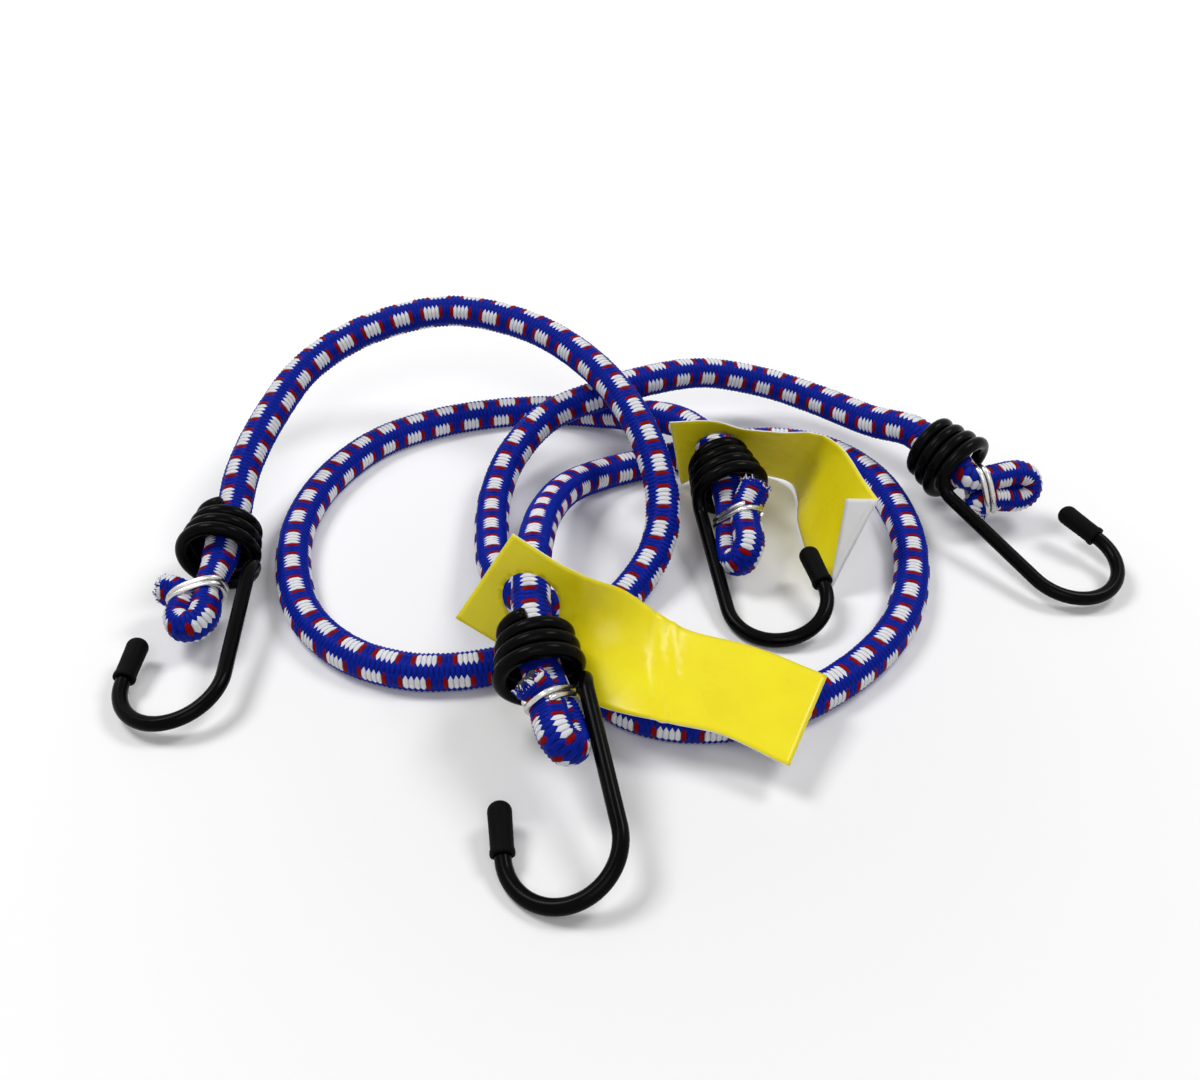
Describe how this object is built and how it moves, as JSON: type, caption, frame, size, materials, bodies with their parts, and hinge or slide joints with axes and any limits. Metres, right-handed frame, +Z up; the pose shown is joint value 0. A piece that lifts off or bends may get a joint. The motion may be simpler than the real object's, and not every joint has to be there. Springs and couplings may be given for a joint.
{
  "type": "stretch cord with wire hooks",
  "caption": "Pair of elastic stretch cords with a woven sheath over a rubber core, coiled wire hooks that swivel at each end and a hanging tag on each cord.",
  "frame": {"origin": "on the floor, in the middle below hooks, caps, clips and tags", "axes": "+Z up from the floor, +X to the right and +Y away as the picture looks at it"},
  "size_m": [0.2161, 0.1666, 0.0339],
  "materials": {
    "sheath": "woven, ribbed",
    "core": "matte",
    "hook_wire": "black dip coating, semi-gloss",
    "tip_cap": "matte",
    "clip_wire": "bright drawn wire",
    "tag": "glossy film, white back"
  },
  "bodies": {
    "cords": {"cord_a_sheath": "sheath", "cord_a_core": "core", "cord_b_sheath": "sheath", "cord_b_core": "core", "front_end_clip": "clip_wire", "middle_end_clip": "clip_wire"},
    "left_end": {"left_end_clip": "clip_wire"},
    "right_end": {"right_end_clip": "clip_wire"},
    "left_hook_body": {"left_hook": "hook_wire", "left_tip_cap": "tip_cap"},
    "front_hook_body": {"front_hook": "hook_wire", "front_tip_cap": "tip_cap"},
    "middle_hook_body": {"middle_hook": "hook_wire", "middle_tip_cap": "tip_cap"},
    "right_hook_body": {"right_hook": "hook_wire", "right_tip_cap": "tip_cap"},
    "front_tag_body": {"front_tag": "tag"},
    "back_tag_body": {"back_tag": "tag"}
  },
  "joints": [
    {"name": "left_stretch", "type": "slide", "parent": "cords", "child": "left_end", "axis": [-0.0366, -0.9993, 0], "range_m": [0, 0.4], "stiffness_N_per_m": 175, "deforming": ["cord_a_sheath", "cord_a_core"]},
    {"name": "right_stretch", "type": "slide", "parent": "cords", "child": "right_end", "axis": [0.6032, -0.7976, 0], "range_m": [0, 0.4], "stiffness_N_per_m": 175, "deforming": ["cord_b_sheath", "cord_b_core"]},
    {"name": "left_swivel", "type": "hinge", "parent": "left_end", "child": "left_hook_body", "pos_m": [-0.0929, 0.0193, 0.0098], "axis": [-0.0363, -0.9896, -0.1392], "range_deg": [-100, 100]},
    {"name": "front_swivel", "type": "hinge", "parent": "cords", "child": "front_hook_body", "pos_m": [-0.0202, -0.0231, 0.0148], "axis": [0.1525, -0.952, -0.2656], "range_deg": [-100, 30]},
    {"name": "middle_swivel", "type": "hinge", "parent": "cords", "child": "middle_hook_body", "pos_m": [0.0215, 0.0436, 0.0102], "axis": [0.2144, -0.9593, -0.184], "range_deg": [-15, 85]},
    {"name": "right_swivel", "type": "hinge", "parent": "right_end", "child": "right_hook_body", "pos_m": [0.0764, 0.0498, 0.0119], "axis": [0.5902, -0.7804, -0.2062], "range_deg": [-60, 30]},
    {"name": "front_tag_swing", "type": "hinge", "parent": "cords", "child": "front_tag_body", "pos_m": [-0.02287, -0.00644, 0.01945], "axis": [0.1525, -0.952, -0.2656], "range_deg": [0, 24]},
    {"name": "back_tag_swing", "type": "hinge", "parent": "cords", "child": "back_tag_body", "pos_m": [0.01775, 0.06039, 0.01342], "axis": [0.2144, -0.9593, -0.184], "range_deg": [0, 20]}
  ]
}
